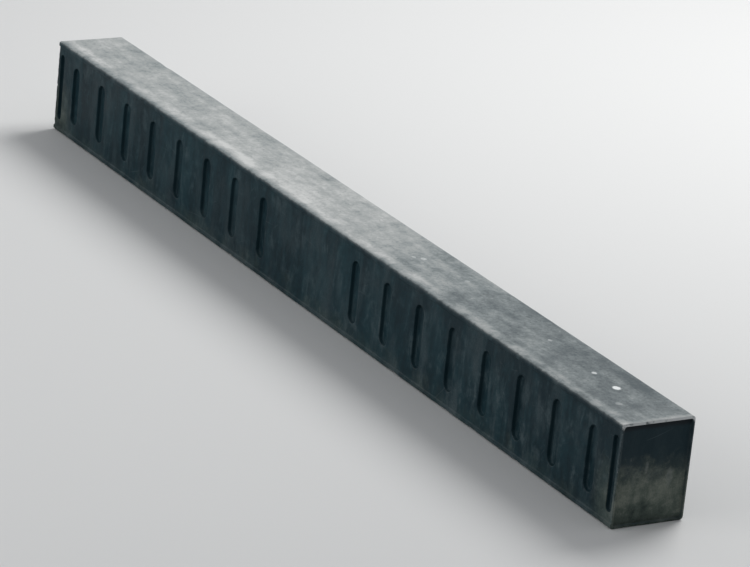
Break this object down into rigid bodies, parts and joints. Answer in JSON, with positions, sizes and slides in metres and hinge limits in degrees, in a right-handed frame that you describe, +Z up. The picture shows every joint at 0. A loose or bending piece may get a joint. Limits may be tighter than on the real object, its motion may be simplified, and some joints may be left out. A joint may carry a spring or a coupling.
{
  "type": "railway sleeper",
  "caption": "Rectangular plastic composite railway sleeper, one moulded block with a slotted, rimmed wide face, plain sides and plain ends.",
  "frame": {"origin": "middle of the narrow side that the sleeper lies on", "axes": "+X along the length; -Y out of the slotted wide face that beds into the ballast; +Y out of the plain wide face that carries the rails; +Z up, across the wide faces"},
  "size_m": [2.5908, 0.1778, 0.2286],
  "materials": {
    "composite": "dull black moulded composite, greyed and dusty outdoors, with fine cross streaks"
  },
  "bodies": {
    "root": {"sleeper": "composite"}
  },
  "joints": []
}
